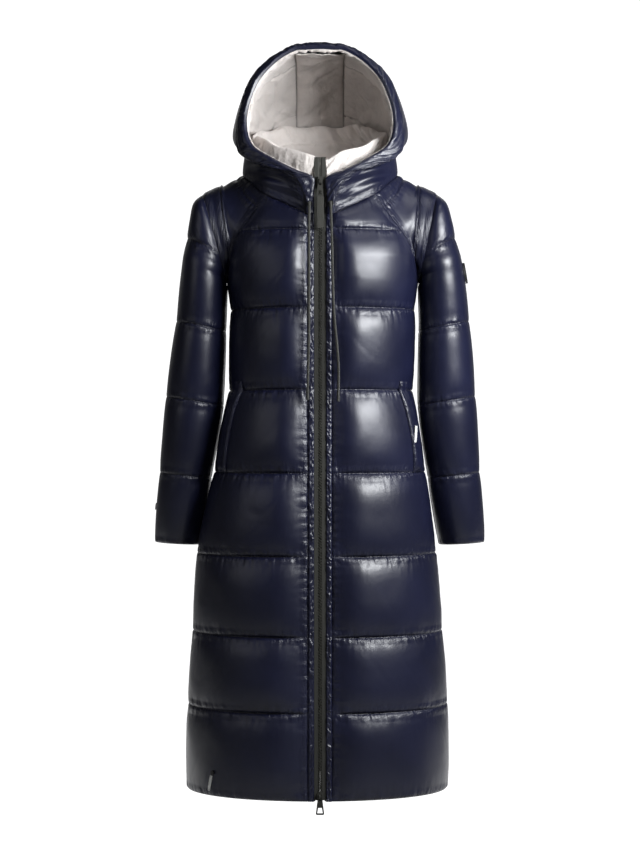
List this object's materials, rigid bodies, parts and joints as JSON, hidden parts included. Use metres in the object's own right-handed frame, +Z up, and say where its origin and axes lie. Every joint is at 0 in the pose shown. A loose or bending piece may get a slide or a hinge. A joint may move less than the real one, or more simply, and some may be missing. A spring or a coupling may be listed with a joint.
{
  "type": "long hooded puffer coat, filled out with no wearer",
  "caption": "Long hooded puffer coat, closed and filled out: quilted padded walls, raglan sleeves, satin-lined hood, two-way zip, slanted welt pockets and hanging drawcords.",
  "frame": {"origin": "between the shoulders, where the wearer holds the coat up", "axes": "+Z up along the coat's length, -Y towards the front with the zip, +X towards the wearer's left sleeve"},
  "size_m": [0.633, 0.3605, 1.427],
  "materials": {
    "shell": "glossy padded nylon, very dark navy",
    "lining": "light taupe satin",
    "zip_tape": "woven zip tape, dark olive-black",
    "zip_teeth": "moulded teeth, dark olive-black",
    "zip_metal": "dark lacquered metal",
    "strap": "heavy woven strap, dark olive-black",
    "label": "plain off-white woven label",
    "eyelet": "black lacquered metal",
    "badge": "plain black badge",
    "cord": "round braided cord, dark olive-black",
    "cord_tip": "black moulded tip"
  },
  "bodies": {
    "coat": {"front_left": "shell", "front_right": "shell", "back": "shell", "placket_left": "shell", "placket_right": "shell", "zip_tape_left": "zip_tape", "zip_tape_right": "zip_tape", "yoke_left": "shell", "yoke_right": "shell", "armhole_strip_left": "shell", "armhole_strip_right": "shell", "sleeve_left": "shell", "sleeve_right": "shell", "hood_side_left": "shell", "hood_side_right": "shell", "hood_centre": "shell", "hood_casing": "shell", "hood_lining_left": "lining", "hood_lining_right": "lining", "hood_lining_centre": "lining", "hood_lining_casing": "lining", "collar": "lining", "zip_chain": "zip_teeth", "top_slider": "zip_metal", "bottom_slider": "zip_metal", "pocket_welt_left": "shell", "pocket_welt_right": "shell", "pocket_label": "label", "hem_tag": "label", "hem_eyelet": "eyelet", "sleeve_badge": "badge", "cuff_tag": "label", "eyelet_left": "eyelet", "eyelet_right": "eyelet", "drawcord_left": "cord", "drawcord_right": "cord", "cord_tip_left": "cord_tip", "cord_tip_right": "cord_tip"},
    "upper_pull": {"top_pull": "zip_metal", "pull_strap": "strap"},
    "lower_pull": {"bottom_pull": "zip_metal"}
  },
  "joints": [
    {"name": "upper_pull_swing", "type": "hinge", "parent": "coat", "child": "upper_pull", "pos_m": [0, -0.1432, -0.02], "axis": [-1, 0, 0], "range_deg": [0, 150]},
    {"name": "lower_pull_swing", "type": "hinge", "parent": "coat", "child": "lower_pull", "pos_m": [0, -0.1771, -1.14], "axis": [-1, 0, 0], "range_deg": [0, 150]}
  ]
}
